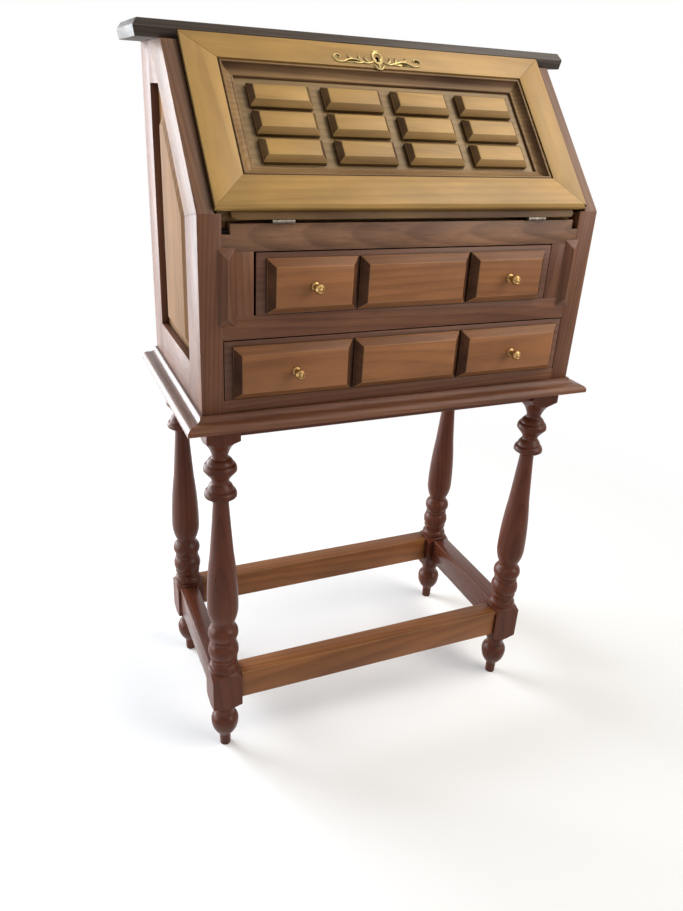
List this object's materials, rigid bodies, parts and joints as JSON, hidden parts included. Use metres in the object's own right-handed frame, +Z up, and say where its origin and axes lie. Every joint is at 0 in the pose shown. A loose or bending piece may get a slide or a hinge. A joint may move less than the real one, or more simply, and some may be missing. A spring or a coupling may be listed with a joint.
{
  "type": "slant-front writing desk",
  "caption": "Slant-front writing desk on a turned-leg stand, with a panelled drop front, drawers, side panels in frames and a small inner gallery.",
  "frame": {"origin": "middle of the whole object's footprint, on the floor under the feet", "axes": "+Z up, +X to the right along the width as seen from the front, the front with the fall and drawers faces -Y"},
  "size_m": [0.609, 0.323, 1.003],
  "materials": {
    "case_wood": "stained and waxed wood, reddish brown, open grain",
    "fall_wood": "waxed wood, golden brown, long grain",
    "top_wood": "dark stained and waxed wood",
    "leg_wood": "turned wood, dark reddish brown, waxed",
    "stretcher_wood": "waxed wood, orange brown",
    "inner_wood": "bare pale wood, sanded",
    "back_wood": "bare board, sanded",
    "brass": "cast and polished brass, a little worn",
    "steel": "plain steel, worn"
  },
  "bodies": {
    "case": {"side_left_front_stile": "case_wood", "side_left_slanted_stile": "case_wood", "side_left_rear_stile": "case_wood", "side_left_rails": "case_wood", "side_left_panel": "case_wood", "side_right_front_stile": "case_wood", "side_right_slanted_stile": "case_wood", "side_right_rear_stile": "case_wood", "side_right_rails": "case_wood", "side_right_panel": "case_wood", "rail_top": "case_wood", "rail_middle": "case_wood", "rail_bottom": "case_wood", "drawer_posts": "case_wood", "planted_strips": "case_wood", "base_moulding_front": "case_wood", "base_moulding_sides": "case_wood", "top_board": "top_wood", "leg_front_left": "leg_wood", "leg_front_right": "leg_wood", "leg_rear_left": "leg_wood", "leg_rear_right": "leg_wood", "aprons_long": "leg_wood", "aprons_side": "leg_wood", "stretcher_front": "stretcher_wood", "stretcher_rear": "stretcher_wood", "stretchers_side": "stretcher_wood", "stand_board": "inner_wood", "case_bottom": "inner_wood", "dust_board": "inner_wood", "desk_floor": "inner_wood", "guides": "inner_wood", "fall_stop": "inner_wood", "gallery": "inner_wood", "back_panel": "back_wood", "hinge_leaves_case": "steel"},
    "fall": {"fall_stiles": "fall_wood", "fall_rails": "fall_wood", "fall_panel": "fall_wood", "fall_moulding": "fall_wood", "fall_blocks": "fall_wood", "escutcheon": "brass", "lock_case": "brass", "hinge_leaves_fall": "steel"},
    "bolt": {"lock_bolt": "brass"},
    "drawer_upper": {"drawer_upper_front": "case_wood", "drawer_upper_box": "inner_wood", "drawer_upper_bottom": "inner_wood", "drawer_upper_fields": "case_wood", "drawer_upper_knobs": "brass"},
    "drawer_lower": {"drawer_lower_front": "case_wood", "drawer_lower_box": "inner_wood", "drawer_lower_bottom": "inner_wood", "drawer_lower_fields": "case_wood", "drawer_lower_knobs": "brass"},
    "slide_left": {"support_slide_left": "steel"},
    "slide_right": {"support_slide_right": "steel"},
    "gallery_drawer_left": {"small_drawer_left": "inner_wood"},
    "gallery_drawer_right": {"small_drawer_right": "inner_wood"}
  },
  "joints": [
    {"name": "fall_hinge", "type": "hinge", "parent": "case", "child": "fall", "pos_m": [0, -0.131, 0.8005], "axis": [1, 0, 0], "range_deg": [0, 132.47]},
    {"name": "drawer_upper_slide", "type": "slide", "parent": "case", "child": "drawer_upper", "axis": [0, -1, 0], "range_m": [0, 0.2]},
    {"name": "drawer_lower_slide", "type": "slide", "parent": "case", "child": "drawer_lower", "axis": [0, -1, 0], "range_m": [0, 0.2]},
    {"name": "slide_left_draw", "type": "slide", "parent": "case", "child": "slide_left", "axis": [0, -1, 0], "range_m": [0, 0.14]},
    {"name": "slide_right_draw", "type": "slide", "parent": "case", "child": "slide_right", "axis": [0, -1, 0], "range_m": [0, 0.14]},
    {"name": "gallery_drawer_left_slide", "type": "slide", "parent": "case", "child": "gallery_drawer_left", "axis": [0, -1, 0], "range_m": [0, 0.07]},
    {"name": "gallery_drawer_right_slide", "type": "slide", "parent": "case", "child": "gallery_drawer_right", "axis": [0, -1, 0], "range_m": [0, 0.07]},
    {"name": "lock_bolt_throw", "type": "slide", "parent": "fall", "child": "bolt", "axis": [0, 0.6753, 0.7376], "range_m": [0, 0.012]}
  ]
}
